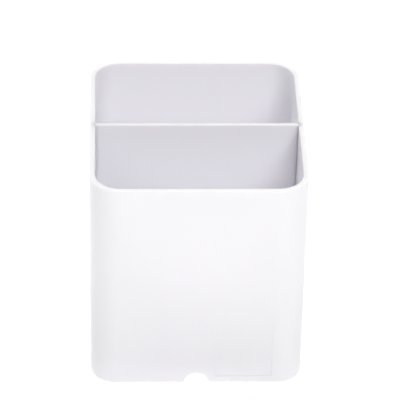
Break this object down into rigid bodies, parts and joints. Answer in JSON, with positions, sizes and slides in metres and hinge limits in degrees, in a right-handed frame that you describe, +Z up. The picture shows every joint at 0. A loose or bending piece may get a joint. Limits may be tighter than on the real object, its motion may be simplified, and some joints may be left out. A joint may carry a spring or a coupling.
{
  "type": "pen holder cup",
  "caption": "Open moulded cup with rounded corners and an upright divider that keeps pens and small desk tools in separate compartments, standing on rubber feet.",
  "frame": {"origin": "middle of the footprint, on the surface that the feet rest on", "axes": "+Z up, +X to the cup's right, -Y towards its front, where the half-round notch and the plain panel are"},
  "size_m": [0.0914, 0.1034, 0.1],
  "materials": {
    "cup_plastic": "white moulded polystyrene, satin gloss",
    "divider_plastic": "white moulded polystyrene, satin gloss, as the cup",
    "foot_rubber": "matt grey rubber"
  },
  "bodies": {
    "root": {"cup_body": "cup_plastic", "divider": "divider_plastic", "foot_front_left": "foot_rubber", "foot_front_right": "foot_rubber", "foot_rear_left": "foot_rubber", "foot_rear_right": "foot_rubber"}
  },
  "joints": []
}
